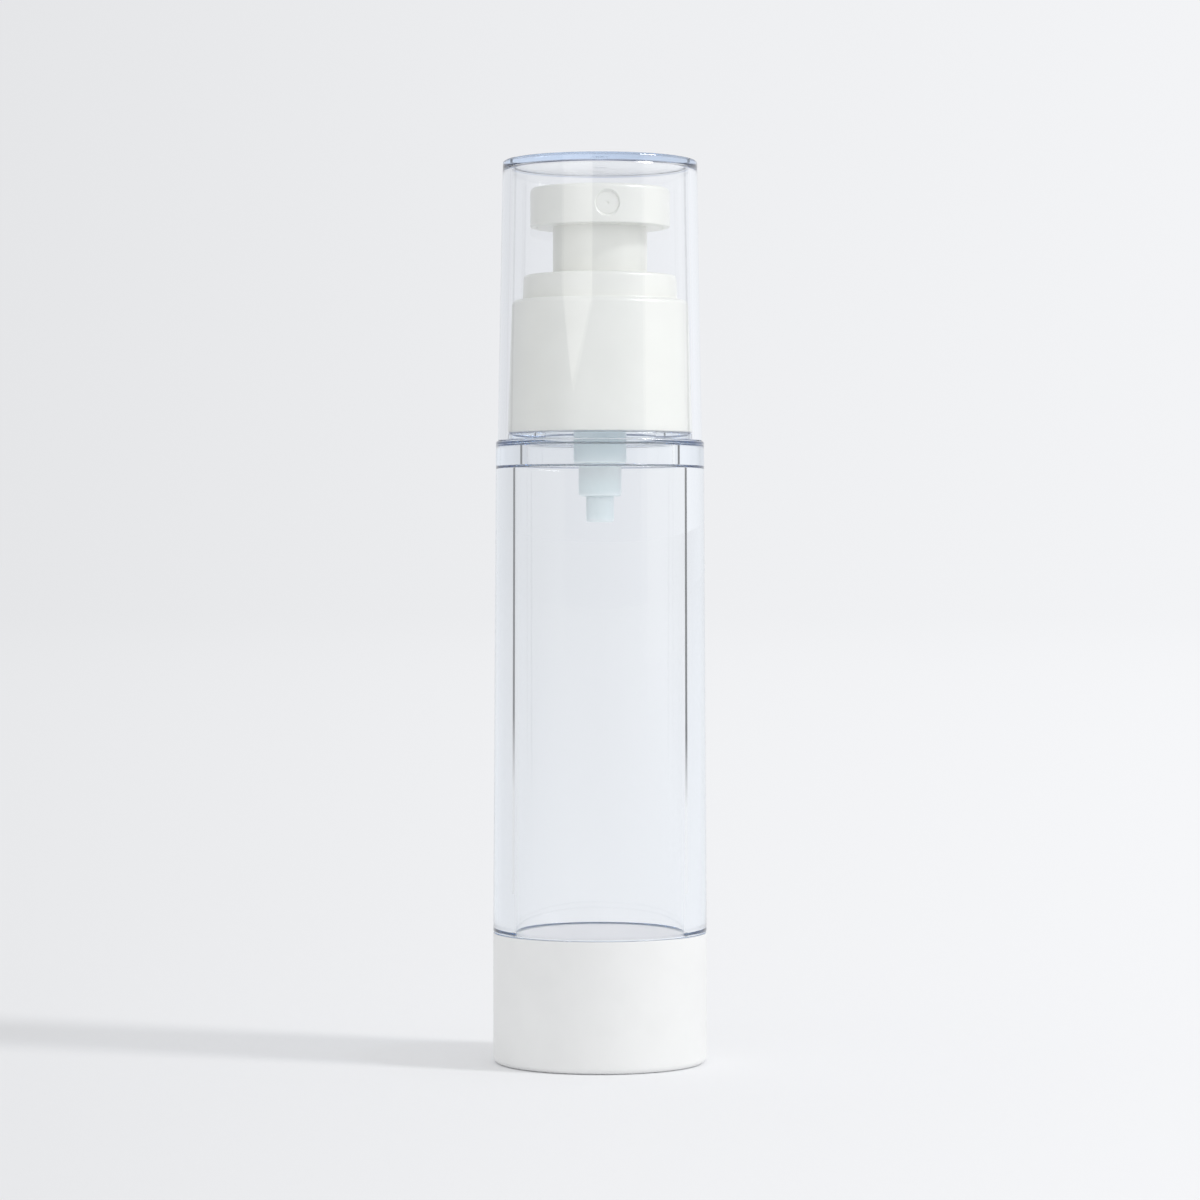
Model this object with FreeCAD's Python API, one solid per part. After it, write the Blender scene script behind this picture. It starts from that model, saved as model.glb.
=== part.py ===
import FreeCAD, Part
import math
import os

Vector = FreeCAD.Vector

# An airless pump bottle: a clear bottle with a follower piston in its bore, a white base cup under it,
# a finger pump screwed on its neck, and a clear cap over the pump.
# Millimetres, +Z up along the axis of the bottle, origin on the ground. The nozzle faces -Y.

# Fits and helpers
press_fit = 0.05  # radial room between pieces that stay together
running_fit = 0.1  # radial room between pieces that slide or turn in one another
seal_fit = 0.05  # radial room left by a lip that wipes its bore
seat_fit = 0.05  # room left at a valve seat or an end stop
overrun = 1.0  # how far a cutting shape runs past the face that it opens
same_point = 1e-6  # points nearer than this are one point

# Base cup
base_height = 20.7
base_wall = 1.25
base_edge_round = 1.0
base_rim_round = 0.15
base_floor = 1.4
foot_recess = 0.8
foot_ring_width = 3.0
vent_radius = 0.9
air_slot_width = 3.0
air_slot_depth = 1.5
air_slot_count = 4

# Bottle
bore_radius = 13.5
bottle_wall = 3.5
bottle_taper = 0.45  # how much narrower the bottle is at its shoulder
bottle_length = 78.1  # from the rim of the base to the shoulder
bottle_foot_gap = 0.4  # under the bottle's lower end, inside the base
bottle_edge_round = 0.2
shoulder_thickness = 4.0
shoulder_round = 0.3
ceiling_round = 0.3
recess_radius = 11.65  # of the recess in the chamber's ceiling
recess_depth = 3.5
recess_round = 0.3
cap_seat_height = 1.2
cap_seat_round = 0.2
neck_height = 12.5  # from the shoulder to the rim of the neck
neck_wall = 1.5
neck_round = 0.3

# Screw thread between neck and closure, with round ridges
thread_pitch = 3.0
thread_turns = 1.25
thread_gap = 0.2
thread_rise = 2.2  # from the cap seat to the start of the neck's ridge
ridge_stand = 0.25  # how far a ridge's centre line stands out of its wall
ridge_start_share = 0.75  # of a turn, where the closure's ridge begins

# Overcap
cap_inset = 0.3  # how far the cap's rim stands in from the bottle's shoulder
cap_wall = 1.35
cap_taper = 0.8
cap_top_thickness = 1.1
cap_edge_round = 0.5
cap_ceiling_round = 0.3
cap_clearance = 0.2
cap_headroom = 3.35
gate_radius = 0.9
gate_depth = 0.15

# Shoulder sleeve, the white collar
sleeve_gap = 0.1
sleeve_taper = 0.7
sleeve_wall = 1.2
sleeve_round = 0.9
ledge_width = 1.7
step_height = 4.0
step_taper = 0.15
step_round = 0.6
guide_depth = 3.0
guide_wall = 1.0
guide_round = 0.25

# Threaded closure inside the sleeve
closure_wall = 1.2
closure_rise = 0.6  # from the sleeve's lower rim to the closure's
web_thickness = 1.3

# Neck gasket
gasket_thickness = 0.8

# Pump housing
housing_bore = 2.55
housing_wall = 0.85
housing_collar_wall = 1.65
housing_step_rise = 0.5  # from the chamber's ceiling to the housing's outer step
housing_chamfer = 0.5
housing_flange = 1.0
plug_depth = 3.0
plug_wall = 0.9
inlet_radius = 1.1
inlet_wall = 1.1
inlet_length = 4.1
inlet_chamfer = 0.3
seat_wall = 0.55  # from the housing's outer floor up to the ball cage
seat_half_angle = 30.0  # degrees

# Housing cap, the lid that guides the stem
lid_flange = 1.2
lid_plug_depth = 5.2
lid_plug_wall = 1.2
turret_height = 3.0
turret_wall = 2.9
turret_round = 0.3

# Inlet ball and its retainer
ball_radius = 1.4
ball_room = 0.35
ball_lift = 0.8
retainer_thickness = 0.8
retainer_hole = 0.8
retainer_slot_width = 0.6
retainer_slot_count = 4

# Return spring
spring_radius = 1.9
spring_wire_radius = 0.22
spring_turns = 5.5
spring_length = 9.2

# Stem, rod and piston of the pump
press_travel = 6.0
stem_radius = 2.0
stem_bore = 1.1
stem_flange_height = 0.9
stem_insertion = 7.7  # how far the stem reaches into the button's socket
piston_length = 3.2
piston_lip_height = 0.7
piston_waist = 0.35
piston_flow_gap = 0.25
piston_countersink = 0.6
valve_shift = 0.5
rod_head_height = 0.7
rod_head_room = 0.4
rod_pilot_length = 1.5
rod_pilot_room = 0.3
rod_insertion = 5.5
flute_width = 0.7
flute_depth = 0.35
flute_count = 3

# Button with its sliding sleeve
button_radius = 11.1
button_height = 6.25
button_wall = 1.1
button_top = 0.9
button_round = 0.7
button_rim_round = 0.25
press_reserve = 1.6  # room left under the button at the end of its travel
core_plate = 1.2
skirt_radius = 7.5
skirt_wall = 1.0
skirt_overlap = 2.8  # how far the sleeve reaches into its guide at rest
skirt_reserve = 0.7  # room left below the sleeve at the end of its travel
socket_wall = 1.15
socket_reserve = 0.5

# Nozzle insert and the passage to it
nozzle_rise = 3.1  # from the underside of the button to the nozzle's axis
nozzle_radius = 1.7
nozzle_length = 3.4
nozzle_face = 0.75
nozzle_round = 0.15
nozzle_recess = 0.5
nozzle_bevel = 0.42
orifice_radius = 0.18
swirl_radius = 1.0
passage_radius = 0.8
tunnel_wall = 0.7

# Follower piston
follower_height = 14.0  # its top lies level with the rim of the base
follower_disc = 1.5
follower_wall = 1.3
follower_room = 0.6
follower_lip_height = 1.2
follower_lip_slope = 1.0
follower_round = 0.25

# Radii, from the bottle's bore out to its skin, and from there in to the neck
bottle_radius = bore_radius + bottle_wall
shoulder_radius = bottle_radius - bottle_taper
base_bore = bottle_radius - base_wall
bottle_foot_radius = base_bore - press_fit
cap_radius = shoulder_radius - cap_inset
cap_mouth = cap_radius - cap_wall
cap_seat_radius = cap_mouth - cap_clearance
sleeve_radius = cap_seat_radius
ledge_radius = sleeve_radius - sleeve_taper
sleeve_bore = ledge_radius - sleeve_wall
closure_radius = sleeve_bore - press_fit
closure_bore = closure_radius - closure_wall
ridge_radius = (thread_pitch / 2 - thread_gap) / 2
thread_height = ridge_radius + ridge_stand
neck_radius = closure_bore - thread_gap - thread_height
neck_bore = neck_radius - neck_wall
stem_guide = stem_radius + running_fit
turret_radius = stem_guide + turret_wall
lid_plug_radius = stem_guide + lid_plug_wall
lid_socket = lid_plug_radius + press_fit
follower_radius = bore_radius - follower_room
follower_bore = follower_radius - follower_wall

# Heights, from the ground up to the cap's top
base_floor_top = foot_recess + base_floor
follower_rest = base_height - follower_height
shoulder_z = base_height + bottle_length
ceiling_z = shoulder_z - shoulder_thickness
recess_z = ceiling_z + recess_depth
cap_seat_z = shoulder_z + cap_seat_height
sleeve_z = cap_seat_z + sleeve_gap
neck_z = shoulder_z + neck_height
gasket_z = neck_z + gasket_thickness
flange_z = gasket_z + housing_flange
lid_z = flange_z + lid_flange
turret_z = lid_z + turret_height
web_z = lid_z + web_thickness
skirt_z = web_z + skirt_reserve + press_travel
sleeve_top_z = skirt_z + skirt_overlap
ledge_z = sleeve_top_z - step_height
button_z = sleeve_top_z + press_travel + press_reserve
button_top_z = button_z + button_height
nozzle_z = button_z + nozzle_rise
socket_z = turret_z + press_travel + socket_reserve
stem_top_z = socket_z + stem_insertion
cap_ceiling_z = button_top_z + cap_headroom
cap_top_z = cap_ceiling_z + cap_top_thickness

# Heights inside the pump, from the lid down to the inlet
lid_plug_z = flange_z - lid_plug_depth
stem_flange_z = lid_plug_z - seat_fit
stem_z = stem_flange_z - stem_flange_height
piston_top_z = stem_z - valve_shift - seat_fit
piston_z = piston_top_z - piston_length
rod_seat_z = piston_z - seat_fit
spring_top_z = rod_seat_z - rod_head_height
spring_z = spring_top_z - spring_length
retainer_z = spring_z - retainer_thickness
ball_reach = math.sqrt(ball_radius**2 - retainer_hole**2)
ball_z = retainer_z - ball_reach - seat_fit - ball_lift
seat_tip_z = ball_z - (ball_radius + seat_fit) / math.sin(math.radians(seat_half_angle))
ball_cage_radius = ball_radius + ball_room
cage_z = seat_tip_z + ball_cage_radius / math.tan(math.radians(seat_half_angle))
seat_z = seat_tip_z + inlet_radius / math.tan(math.radians(seat_half_angle))
housing_z = cage_z - seat_wall
inlet_z = housing_z - inlet_length

ORIGIN = Vector(0, 0, 0)
UP = Vector(0, 0, 1)
FORWARD = Vector(0, -1, 0)


def corner(radius, height, rounding=0):
    """A corner of a half section: distance from the axis, height, and the rounding there."""
    return Vector(radius, 0, height), rounding


def round_off(before, here, after, rounding):
    """Start, middle and end of the arc that rounds the corner at here."""
    back = (before - here).normalize()
    on = (after - here).normalize()
    half = back.getAngle(on) / 2
    reach = rounding / math.tan(half)
    inward = (back + on).normalize()
    middle = here + inward * (rounding / math.sin(half) - rounding)
    return here + back * reach, middle, here + on * reach


def turned(corners):
    """A solid turned about the axis from the corners of its half section."""
    stops = []
    for index, (here, rounding) in enumerate(corners):
        before = corners[index - 1][0]
        after = corners[(index + 1) % len(corners)][0]
        stops.append(round_off(before, here, after, rounding) if rounding else (here, here, here))
    edges = []
    for index, (start, middle, end) in enumerate(stops):
        if start.distanceToPoint(end) > same_point:
            edges.append(Part.Arc(start, middle, end).toShape())
        following = stops[(index + 1) % len(stops)][0]
        if end.distanceToPoint(following) > same_point:
            edges.append(Part.LineSegment(end, following).toShape())
    return Part.Face(Part.Wire(edges)).revolve(ORIGIN, UP, 360)


def tube(inner, outer, low, high):
    """A plain ring between two radii and two heights."""
    return turned([corner(inner, low), corner(outer, low), corner(outer, high), corner(inner, high)])


def rod(radius, low, high):
    """A round bar on the axis."""
    return Part.makeCylinder(radius, high - low, Vector(0, 0, low))


def forward_bar(radius, near, far, height):
    """A round bar that runs forward, from near to far in front of the axis."""
    return Part.makeCylinder(radius, far - near, Vector(0, -near, height), FORWARD)


def around(shape, count):
    """Copies of a shape, evenly spaced about the axis."""
    copies = []
    for index in range(count):
        copy = shape.copy()
        copy.rotate(ORIGIN, UP, index * 360 / count)
        copies.append(copy)
    return copies


def one_solid(shape):
    """The single solid that a joining or cutting gave, with its split faces merged."""
    solids = shape.removeSplitter().Solids
    if len(solids) != 1:
        raise ValueError("a piece came out as %d solids" % len(solids))
    return solids[0]


def helix_point(radius, pitch, start, turn):
    angle = 2 * math.pi * turn
    return Vector(radius * math.cos(angle), radius * math.sin(angle), start + pitch * turn)


def helix_heading(radius, pitch, turn):
    angle = 2 * math.pi * turn
    around_axis = 2 * math.pi * radius
    heading = Vector(-around_axis * math.sin(angle), around_axis * math.cos(angle), pitch)
    return heading.normalize()


def arc_between(start, crossing, end):
    """The arc from start to end whose end tangents cross at crossing."""
    back = (start - crossing).normalize()
    on = (end - crossing).normalize()
    half = back.getAngle(on) / 2
    leg = start.distanceToPoint(crossing)
    middle = crossing + (back + on).normalize() * (leg / math.cos(half) - leg * math.tan(half))
    return Part.Arc(start, middle, end).toShape()


def coil(radius, pitch, start, first_turn, turns, wire_radius):
    """A round wire wound on a helix, with two tangent arcs to each quarter turn."""
    quarters = math.ceil(4 * turns)
    edges = []
    for index in range(quarters):
        here_turn = first_turn + turns * index / quarters
        next_turn = first_turn + turns * (index + 1) / quarters
        here = helix_point(radius, pitch, start, here_turn)
        there = helix_point(radius, pitch, start, next_turn)
        leaving = helix_heading(radius, pitch, here_turn)
        arriving = helix_heading(radius, pitch, next_turn)
        way = there - here
        along = way.dot(leaving + arriving)
        bend = 2 * (1 - leaving.dot(arriving))
        leg = (math.sqrt(along**2 + bend * way.dot(way)) - along) / bend
        crossing = here + leaving * leg
        next_crossing = there - arriving * leg
        middle = (crossing + next_crossing) / 2
        edges.append(arc_between(here, crossing, middle))
        edges.append(arc_between(middle, next_crossing, there))
    begin = helix_point(radius, pitch, start, first_turn)
    section = Part.Wire(Part.makeCircle(wire_radius, begin, helix_heading(radius, pitch, first_turn)))
    return Part.Wire(edges).makePipeShell([section], True, False)


def least_coil_gap(radius, pitch, turns, wire_radius):
    """Least clear distance between points of the coil that lie half a turn or more apart."""
    steps_per_turn = 36
    steps = int(turns * steps_per_turn) + 1
    points = [helix_point(radius, pitch, 0, step / steps_per_turn) for step in range(steps)]
    apart = steps_per_turn // 2
    nearest = min(
        points[first].distanceToPoint(points[second])
        for first in range(len(points))
        for second in range(first + apart, len(points))
    )
    return nearest - 2 * wire_radius


def base_cup():
    foot_bore = bottle_radius - foot_ring_width
    cup = turned(
        [
            corner(vent_radius, foot_recess),
            corner(foot_bore, foot_recess),
            corner(foot_bore, 0),
            corner(bottle_radius, 0, base_edge_round),
            corner(bottle_radius, base_height, base_rim_round),
            corner(base_bore, base_height),
            corner(base_bore, base_floor_top),
            corner(follower_radius, base_floor_top),
            corner(follower_radius, follower_rest),
            corner(follower_bore, follower_rest),
            corner(follower_bore, base_floor_top),
            corner(vent_radius, base_floor_top),
        ]
    )
    slot = Part.makeBox(
        follower_wall + 2 * overrun,
        air_slot_width,
        air_slot_depth + overrun,
        Vector(follower_bore - overrun, -air_slot_width / 2, follower_rest - air_slot_depth),
    )
    return one_solid(cup.cut(around(slot, air_slot_count)))


def bottle():
    foot_z = base_floor_top + bottle_foot_gap
    body = turned(
        [
            corner(bore_radius, foot_z),
            corner(bottle_foot_radius, foot_z),
            corner(bottle_foot_radius, base_height),
            corner(bottle_radius, base_height, bottle_edge_round),
            corner(shoulder_radius, shoulder_z, shoulder_round),
            corner(cap_seat_radius, shoulder_z),
            corner(cap_seat_radius, cap_seat_z, cap_seat_round),
            corner(neck_radius, cap_seat_z),
            corner(neck_radius, neck_z, neck_round),
            corner(neck_bore, neck_z),
            corner(neck_bore, recess_z),
            corner(recess_radius, recess_z, recess_round),
            corner(recess_radius, ceiling_z),
            corner(bore_radius, ceiling_z, ceiling_round),
        ]
    )
    ridge = coil(
        neck_radius + ridge_stand, thread_pitch, cap_seat_z + thread_rise, 0, thread_turns, ridge_radius
    )
    return one_solid(body.fuse(ridge))


def follower_piston():
    top = follower_rest + follower_height
    lip = bore_radius - seal_fit
    return turned(
        [
            corner(0, top),
            corner(lip, top, follower_round),
            corner(lip, top - follower_lip_height),
            corner(follower_radius, top - follower_lip_height - follower_lip_slope),
            corner(follower_radius, follower_rest + follower_lip_height + follower_lip_slope),
            corner(lip, follower_rest + follower_lip_height),
            corner(lip, follower_rest),
            corner(follower_bore, follower_rest),
            corner(follower_bore, top - follower_disc),
            corner(0, top - follower_disc),
        ]
    )


def neck_gasket():
    return tube(neck_bore, neck_radius, neck_z, gasket_z)


def pump_housing():
    barrel = housing_bore + housing_wall
    collar = housing_bore + housing_collar_wall
    step_z = ceiling_z + housing_step_rise
    inlet = inlet_radius + inlet_wall
    plug = neck_bore - running_fit
    return turned(
        [
            corner(inlet_radius, inlet_z),
            corner(inlet - inlet_chamfer, inlet_z),
            corner(inlet, inlet_z + inlet_chamfer),
            corner(inlet, housing_z),
            corner(barrel - housing_chamfer, housing_z),
            corner(barrel, housing_z + housing_chamfer),
            corner(barrel, step_z),
            corner(collar, step_z),
            corner(collar, gasket_z),
            corner(plug - plug_wall, gasket_z),
            corner(plug - plug_wall, gasket_z - plug_depth),
            corner(plug, gasket_z - plug_depth),
            corner(plug, gasket_z),
            corner(neck_radius, gasket_z),
            corner(neck_radius, flange_z),
            corner(lid_socket, flange_z),
            corner(lid_socket, lid_plug_z),
            corner(housing_bore, lid_plug_z),
            corner(housing_bore, retainer_z),
            corner(ball_cage_radius, retainer_z),
            corner(ball_cage_radius, cage_z),
            corner(inlet_radius, seat_z),
        ]
    )


def housing_cap():
    return turned(
        [
            corner(stem_guide, lid_plug_z),
            corner(lid_plug_radius, lid_plug_z),
            corner(lid_plug_radius, flange_z),
            corner(neck_radius, flange_z),
            corner(neck_radius, lid_z),
            corner(turret_radius, lid_z),
            corner(turret_radius, turret_z, turret_round),
            corner(stem_guide, turret_z),
        ]
    )


def threaded_closure():
    ring = turned(
        [
            corner(closure_bore, sleeve_z + closure_rise),
            corner(closure_radius, sleeve_z + closure_rise),
            corner(closure_radius, ledge_z - sleeve_wall),
            corner(closure_bore, ledge_z - sleeve_wall),
            corner(closure_bore, web_z),
            corner(turret_radius + running_fit, web_z),
            corner(turret_radius + running_fit, lid_z),
            corner(closure_bore, lid_z),
        ]
    )
    groove_start = cap_seat_z + thread_rise - thread_pitch / 2
    coil_radius = closure_bore - ridge_stand
    ridge = coil(coil_radius, thread_pitch, groove_start, ridge_start_share, thread_turns, ridge_radius)
    return one_solid(ring.fuse(ridge))


def shoulder_sleeve():
    guide = skirt_radius + running_fit
    step_radius = ledge_radius - ledge_width
    step_bore = step_radius - sleeve_wall
    roof_z = sleeve_top_z - sleeve_wall
    return turned(
        [
            corner(sleeve_bore, sleeve_z),
            corner(sleeve_radius, sleeve_z),
            corner(ledge_radius, ledge_z, sleeve_round),
            corner(step_radius, ledge_z),
            corner(step_radius - step_taper, sleeve_top_z, step_round),
            corner(guide, sleeve_top_z, guide_round),
            corner(guide, sleeve_top_z - guide_depth),
            corner(guide + guide_wall, sleeve_top_z - guide_depth),
            corner(guide + guide_wall, roof_z),
            corner(step_bore, roof_z),
            corner(step_bore, ledge_z - sleeve_wall),
            corner(sleeve_bore, ledge_z - sleeve_wall),
        ]
    )


def overcap():
    top_radius = cap_radius - cap_taper
    return turned(
        [
            corner(cap_mouth, shoulder_z),
            corner(cap_radius, shoulder_z),
            corner(top_radius, cap_top_z, cap_edge_round),
            corner(gate_radius, cap_top_z),
            corner(gate_radius, cap_top_z - gate_depth),
            corner(0, cap_top_z - gate_depth),
            corner(0, cap_ceiling_z),
            corner(top_radius - cap_wall, cap_ceiling_z, cap_ceiling_round),
        ]
    )


def ball_retainer():
    radius = housing_bore - press_fit
    disc = tube(retainer_hole, radius, retainer_z, spring_z)
    slot = Part.makeBox(
        ball_cage_radius - retainer_slot_width / 2,
        retainer_slot_width,
        retainer_thickness + 2 * overrun,
        Vector(0, -retainer_slot_width / 2, retainer_z - overrun),
    )
    return one_solid(disc.cut(around(slot, retainer_slot_count)))


def inlet_ball():
    return Part.makeSphere(ball_radius, Vector(0, 0, ball_z))


def return_spring():
    pitch = (spring_length - 2 * (spring_wire_radius + seat_fit)) / spring_turns
    start = spring_z + seat_fit + spring_wire_radius
    gap = least_coil_gap(spring_radius, pitch, spring_turns, spring_wire_radius)
    print("least gap between the turns of the spring: %.3f mm" % gap)
    return coil(spring_radius, pitch, start, 0, spring_turns, spring_wire_radius)


def stem():
    flange = housing_bore - running_fit
    return turned(
        [
            corner(stem_bore, stem_z),
            corner(flange, stem_z),
            corner(flange, stem_flange_z),
            corner(stem_radius, stem_flange_z),
            corner(stem_radius, stem_top_z),
            corner(stem_bore, stem_top_z),
        ]
    )


def pump_piston():
    lip = housing_bore - seal_fit
    bore = stem_bore + piston_flow_gap
    return turned(
        [
            corner(bore + piston_countersink, piston_z),
            corner(lip, piston_z),
            corner(lip, piston_z + piston_lip_height),
            corner(lip - piston_waist, piston_z + piston_lip_height + piston_waist),
            corner(lip - piston_waist, piston_top_z - piston_lip_height - piston_waist),
            corner(lip, piston_top_z - piston_lip_height),
            corner(lip, piston_top_z),
            corner(bore, piston_top_z),
            corner(bore, piston_z + piston_countersink),
        ]
    )


def piston_rod():
    shank = stem_bore - press_fit
    head = housing_bore - rod_head_room
    cone = stem_bore + piston_flow_gap + piston_countersink
    pilot = spring_radius - spring_wire_radius - rod_pilot_room
    top = stem_z + rod_insertion
    body = turned(
        [
            corner(0, spring_top_z - rod_pilot_length),
            corner(pilot, spring_top_z - rod_pilot_length),
            corner(pilot, spring_top_z),
            corner(head, spring_top_z),
            corner(head, rod_seat_z),
            corner(cone, rod_seat_z),
            corner(shank, rod_seat_z + cone - shank),
            corner(shank, top),
            corner(0, top),
        ]
    )
    flute = Part.makeBox(
        flute_depth + overrun,
        flute_width,
        top + overrun - piston_top_z,
        Vector(shank - flute_depth, -flute_width / 2, piston_top_z),
    )
    return one_solid(body.cut(around(flute, flute_count)))


def actuator_core():
    plate_radius = button_radius - button_wall - press_fit
    roof_z = button_top_z - button_top - press_fit
    socket_bore = stem_radius + press_fit
    socket = socket_bore + socket_wall
    pocket = nozzle_radius + press_fit
    pocket_floor = button_radius - nozzle_recess - nozzle_length
    room = rod(plate_radius, button_z, roof_z)
    tunnel = forward_bar(pocket + tunnel_wall, 0, button_radius, nozzle_z).common(room)
    body = tube(skirt_radius - skirt_wall, skirt_radius, skirt_z, button_z + core_plate).fuse(
        [
            rod(plate_radius, button_z, button_z + core_plate),
            rod(socket, socket_z, roof_z),
            tunnel,
        ]
    )
    hollows = [
        rod(socket_bore, socket_z - overrun, stem_top_z),
        rod(stem_bore, stem_top_z - overrun, nozzle_z + passage_radius),
        forward_bar(passage_radius, 0, pocket_floor + overrun, nozzle_z),
        forward_bar(pocket, pocket_floor, button_radius, nozzle_z),
    ]
    return one_solid(body.cut(hollows))


def button_shell():
    shell = turned(
        [
            corner(button_radius - button_wall, button_z),
            corner(button_radius, button_z, button_rim_round),
            corner(button_radius, button_top_z, button_round),
            corner(0, button_top_z),
            corner(0, button_top_z - button_top),
            corner(button_radius - button_wall, button_top_z - button_top),
        ]
    )
    hole = nozzle_radius + press_fit
    face = button_radius - nozzle_recess
    bevel = Part.makeCone(
        hole,
        hole + nozzle_bevel * 2,
        nozzle_recess * 2,
        Vector(0, -face, nozzle_z),
        FORWARD,
    )
    window = forward_bar(hole, button_radius / 2, button_radius, nozzle_z)
    return one_solid(shell.cut([window, bevel]))


def nozzle_insert():
    face = button_radius - nozzle_recess
    cup = turned(
        [
            corner(orifice_radius, nozzle_length),
            corner(orifice_radius, nozzle_length - nozzle_face),
            corner(swirl_radius, nozzle_length - nozzle_face),
            corner(swirl_radius, 0),
            corner(nozzle_radius, 0),
            corner(nozzle_radius, nozzle_length, nozzle_round),
        ]
    )
    cup.rotate(ORIGIN, Vector(1, 0, 0), 90)
    cup.translate(Vector(0, nozzle_length - face, nozzle_z))
    return cup


PIECES = [
    base_cup,
    bottle,
    follower_piston,
    neck_gasket,
    pump_housing,
    housing_cap,
    threaded_closure,
    shoulder_sleeve,
    overcap,
    ball_retainer,
    inlet_ball,
    return_spring,
    stem,
    pump_piston,
    piston_rod,
    actuator_core,
    button_shell,
    nozzle_insert,
]

os.makedirs("parts", exist_ok=True)
for make in PIECES:
    piece = make()
    piece.exportStep("parts/%s.step" % make.__name__)
    box = piece.optimalBoundingBox()
    print(
        "%-16s %9.2f mm3, height %.2f to %.2f, width %.2f"
        % (make.__name__, piece.Volume, box.ZMin, box.ZMax, box.XLength)
    )
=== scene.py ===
# %% [markdown]
# # An airless pump bottle
# A clear bottle for lotion with a white base, a white press pump and a clear cap over the pump. Each press
# draws some lotion out, and a piston at the bottom follows it up, so no air gets in. This lesson dresses
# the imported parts, which come in as a fixed frame in metres. Nothing here moves or resizes them.

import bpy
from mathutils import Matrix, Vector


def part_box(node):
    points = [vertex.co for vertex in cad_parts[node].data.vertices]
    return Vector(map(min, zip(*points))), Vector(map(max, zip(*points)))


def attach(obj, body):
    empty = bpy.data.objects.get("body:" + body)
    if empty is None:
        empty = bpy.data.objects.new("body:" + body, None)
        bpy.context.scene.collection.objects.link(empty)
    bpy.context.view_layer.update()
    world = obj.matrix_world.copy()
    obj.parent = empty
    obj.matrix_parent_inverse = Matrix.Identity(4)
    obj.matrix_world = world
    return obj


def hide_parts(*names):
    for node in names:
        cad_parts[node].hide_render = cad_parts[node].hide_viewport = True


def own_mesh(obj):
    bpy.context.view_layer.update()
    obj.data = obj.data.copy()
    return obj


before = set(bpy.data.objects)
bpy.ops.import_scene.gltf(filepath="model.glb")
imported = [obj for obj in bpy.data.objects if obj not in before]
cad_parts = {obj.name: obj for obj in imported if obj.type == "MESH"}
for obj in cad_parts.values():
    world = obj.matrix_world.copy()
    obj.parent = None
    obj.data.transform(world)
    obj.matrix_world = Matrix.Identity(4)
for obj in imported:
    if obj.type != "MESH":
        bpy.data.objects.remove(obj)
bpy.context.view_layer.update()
print("packed parts", len(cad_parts))

# %% [markdown]
# ## Units and sizes
# The frame is in metres, but a bottle maker thinks in millimetres, so sizes here are written in
# millimetres and one factor brings them to metres. The outer radius and the two ends of each round part
# are read from the frame, and only walls, steps and roundings are written down again.

# %% Measure the round parts
import math

import bmesh
import bpy
from mathutils import Matrix, Vector

MM = 0.001


def reach(node):
    """Outer radius, lowest and highest point of a round node, in millimetres."""
    low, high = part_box(node)
    return round(high.x / MM, 3), round(low.z / MM, 3), round(high.z / MM, 3)


base_radius, ground, base_rim = reach("base_cup")
bottle_radius, bottle_foot, neck_top = reach("bottle")
cap_radius, shoulder, cap_top = reach("overcap")
sleeve_radius, sleeve_low, sleeve_top = reach("shoulder_sleeve")
button_radius, button_low, button_top = reach("button_shell")
follower_radius, follower_low, follower_top = reach("follower_piston")
print("base", reach("base_cup"), "bottle", reach("bottle"), "cap", reach("overcap"))

# %% [markdown]
# ## Turning a piece
# Nearly everything on this bottle is round. A round part could be stacked from cylinders, but its walls
# and lips are easier to draw as half a section. The section is spun about the upright axis, its poles are
# merged, and the rings at its corners are bevelled, because a moulded edge is never quite sharp. Each
# corner of a section is a radius, a height and a rounding.

# %% Spin a half section and round its corners
SEGMENTS = 256
ROUND_STEPS = 4
NEAR = 1e-6
SHARP = 0
FINE = 0.1
SOFT = 0.2


def ring_edges(form, radius, height):
    """The edges of a spun form that lie on one ring."""
    level = height * MM
    around_axis = radius * MM
    ring = {
        vert
        for vert in form.verts
        if abs(vert.co.z - level) < NEAR and abs(vert.co.xy.length - around_axis) < NEAR
    }
    return [edge for edge in form.edges if edge.verts[0] in ring and edge.verts[1] in ring]


def round_ring(form, radius, height, rounding):
    """Bevels one ring of a spun form."""
    bmesh.ops.bevel(
        form,
        geom=ring_edges(form, radius, height),
        offset=rounding * MM,
        offset_type="OFFSET",
        segments=ROUND_STEPS,
        profile=0.5,
        affect="EDGES",
        material=-1,
        clamp_overlap=True,
    )


def spun(corners):
    """A form turned about the axis from the corners of its section: radius, height and rounding."""
    form = bmesh.new()
    section = [form.verts.new((radius * MM, 0, height * MM)) for radius, height, _ in corners]
    for index, here in enumerate(section):
        before = section[index - 1]
        if here.co.x > 0 or before.co.x > 0:
            form.edges.new((before, here))
    line = form.verts[:] + form.edges[:]
    bmesh.ops.spin(
        form, geom=line, cent=(0, 0, 0), axis=(0, 0, 1), angle=math.tau, steps=SEGMENTS, use_merge=True
    )
    bmesh.ops.remove_doubles(form, verts=form.verts, dist=NEAR)
    bmesh.ops.recalc_face_normals(form, faces=form.faces)
    for radius, height, rounding in corners:
        if rounding:
            round_ring(form, radius, height, rounding)
    return form


print("each ring has", SEGMENTS, "segments, and each rounding", ROUND_STEPS, "steps")

# %% [markdown]
# ## From a form to a piece
# A finished form becomes an object that rides on the body of the node it stands for. Smooth shading alone
# would bend the look of flat faces beside a rounding. Weighted normals keep flat faces flat, and edges
# sharper than about a third of a right angle stay crisp.

# %% Make a piece that stands for a node
CRISP = math.radians(32)
FLAT_WEIGHT = 100


def shown_as(name, form):
    """An object that shows a form."""
    mesh = bpy.data.meshes.new(name)
    form.to_mesh(mesh)
    form.free()
    made = bpy.data.objects.new(name, mesh)
    bpy.context.scene.collection.objects.link(made)
    return made


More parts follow.
